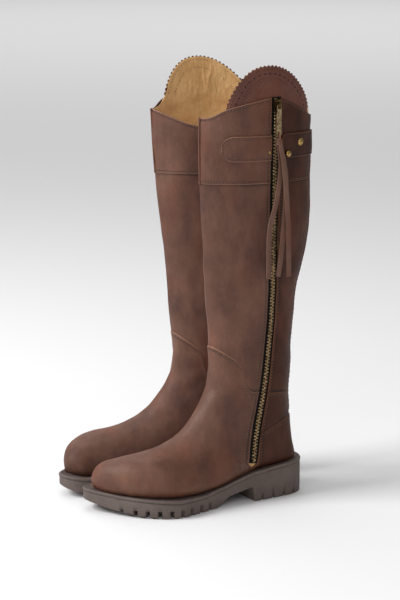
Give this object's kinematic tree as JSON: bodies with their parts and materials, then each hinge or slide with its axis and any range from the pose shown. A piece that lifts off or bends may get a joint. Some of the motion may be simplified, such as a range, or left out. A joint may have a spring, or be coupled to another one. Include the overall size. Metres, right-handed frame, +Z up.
{
  "type": "riding boots",
  "caption": "Pair of tall leather riding boots with a side zip, hanging leather tassel, buttoned top strap, scalloped side plate and a lugged rubber sole",
  "frame": {"origin": "middle of the pair on the ground", "axes": "+Z up, toes towards -Y, left boot on the +X side"},
  "size_m": [0.2152, 0.2728, 0.49],
  "materials": {
    "upper_leather": "matte greased brown leather",
    "lining_leather": "smooth undyed tan leather",
    "sole_rubber": "matte taupe rubber",
    "stiffener": "moulded sheet",
    "board": "fibre board",
    "tape": "woven black tape",
    "brass": "antique brass",
    "dark_metal": "darkened antique brass"
  },
  "bodies": {
    "left_boot": {"left_outsole": "sole_rubber", "left_welt": "sole_rubber", "left_insole_board": "board", "left_footbed": "lining_leather", "left_toe_puff": "stiffener", "left_heel_stiffener": "stiffener", "left_lining": "lining_leather", "left_vamp": "upper_leather", "left_quarter": "upper_leather", "left_heel_counter": "upper_leather", "left_shaft_front": "upper_leather", "left_shaft_rear": "upper_leather", "left_shaft_inner": "upper_leather", "left_band_front": "upper_leather", "left_band_rear": "upper_leather", "left_band_inner": "upper_leather", "left_side_plate": "upper_leather", "left_back_stay": "upper_leather", "left_front_strap": "upper_leather", "left_rear_strap": "upper_leather", "left_strap_studs": "brass", "left_zip_tape_front": "tape", "left_zip_tape_rear": "tape", "left_zip_teeth_front": "brass", "left_zip_teeth_rear": "brass"},
    "right_boot": {"right_outsole": "sole_rubber", "right_welt": "sole_rubber", "right_insole_board": "board", "right_footbed": "lining_leather", "right_toe_puff": "stiffener", "right_heel_stiffener": "stiffener", "right_lining": "lining_leather", "right_vamp": "upper_leather", "right_quarter": "upper_leather", "right_heel_counter": "upper_leather", "right_shaft_front": "upper_leather", "right_shaft_rear": "upper_leather", "right_shaft_inner": "upper_leather", "right_band_front": "upper_leather", "right_band_rear": "upper_leather", "right_band_inner": "upper_leather", "right_side_plate": "upper_leather", "right_back_stay": "upper_leather", "right_front_strap": "upper_leather", "right_rear_strap": "upper_leather", "right_strap_studs": "brass", "right_zip_tape_front": "tape", "right_zip_tape_rear": "tape", "right_zip_teeth_front": "brass", "right_zip_teeth_rear": "brass"},
    "left_slider": {"left_zip_slider": "dark_metal"},
    "left_puller": {"left_zip_puller": "brass"},
    "left_tassel": {"left_tassel": "upper_leather"},
    "left_strap_tab": {"left_strap_tab": "upper_leather"},
    "right_slider": {"right_zip_slider": "dark_metal"},
    "right_puller": {"right_zip_puller": "brass"},
    "right_tassel": {"right_tassel": "upper_leather"},
    "right_strap_tab": {"right_strap_tab": "upper_leather"}
  },
  "joints": [
    {"name": "right_boot_apart", "type": "slide", "parent": "left_boot", "child": "right_boot", "axis": [-1, 0, 0], "range_m": [0, 0.25]},
    {"name": "left_zip_slide", "type": "slide", "parent": "left_boot", "child": "left_slider", "axis": [-0.0677, 0.0196, -0.9975], "range_m": [0, 0.2]},
    {"name": "left_puller_hinge", "type": "hinge", "parent": "left_slider", "child": "left_puller", "pos_m": [0.09327, 0.07516, 0.44672], "axis": [0.1688, -0.9852, -0.0308], "range_deg": [0, 150]},
    {"name": "left_tassel_swing", "type": "hinge", "parent": "left_puller", "child": "left_tassel", "pos_m": [0.09327, 0.07516, 0.41672], "axis": [0.9853, 0.1709, 0], "range_deg": [-30, 12]},
    {"name": "left_strap_tab_hinge", "type": "hinge", "parent": "left_boot", "child": "left_strap_tab", "pos_m": [0.08146, 0.10309, 0.4], "axis": [0.0547, 0.0053, 0.9985], "range_deg": [0, 90]},
    {"name": "right_zip_slide", "type": "slide", "parent": "right_boot", "child": "right_slider", "axis": [0.0677, 0.0196, -0.9975], "range_m": [0, 0.2]},
    {"name": "right_puller_hinge", "type": "hinge", "parent": "right_slider", "child": "right_puller", "pos_m": [-0.09327, 0.07136, 0.44672], "axis": [0.1688, 0.9852, 0.0308], "range_deg": [0, 150]},
    {"name": "right_tassel_swing", "type": "hinge", "parent": "right_puller", "child": "right_tassel", "pos_m": [-0.09327, 0.07136, 0.41672], "axis": [0.9853, -0.1709, 0], "range_deg": [-30, 12]},
    {"name": "right_strap_tab_hinge", "type": "hinge", "parent": "right_boot", "child": "right_strap_tab", "pos_m": [-0.08146, 0.09929, 0.4], "axis": [0.0547, -0.0053, -0.9985], "range_deg": [0, 90]}
  ]
}
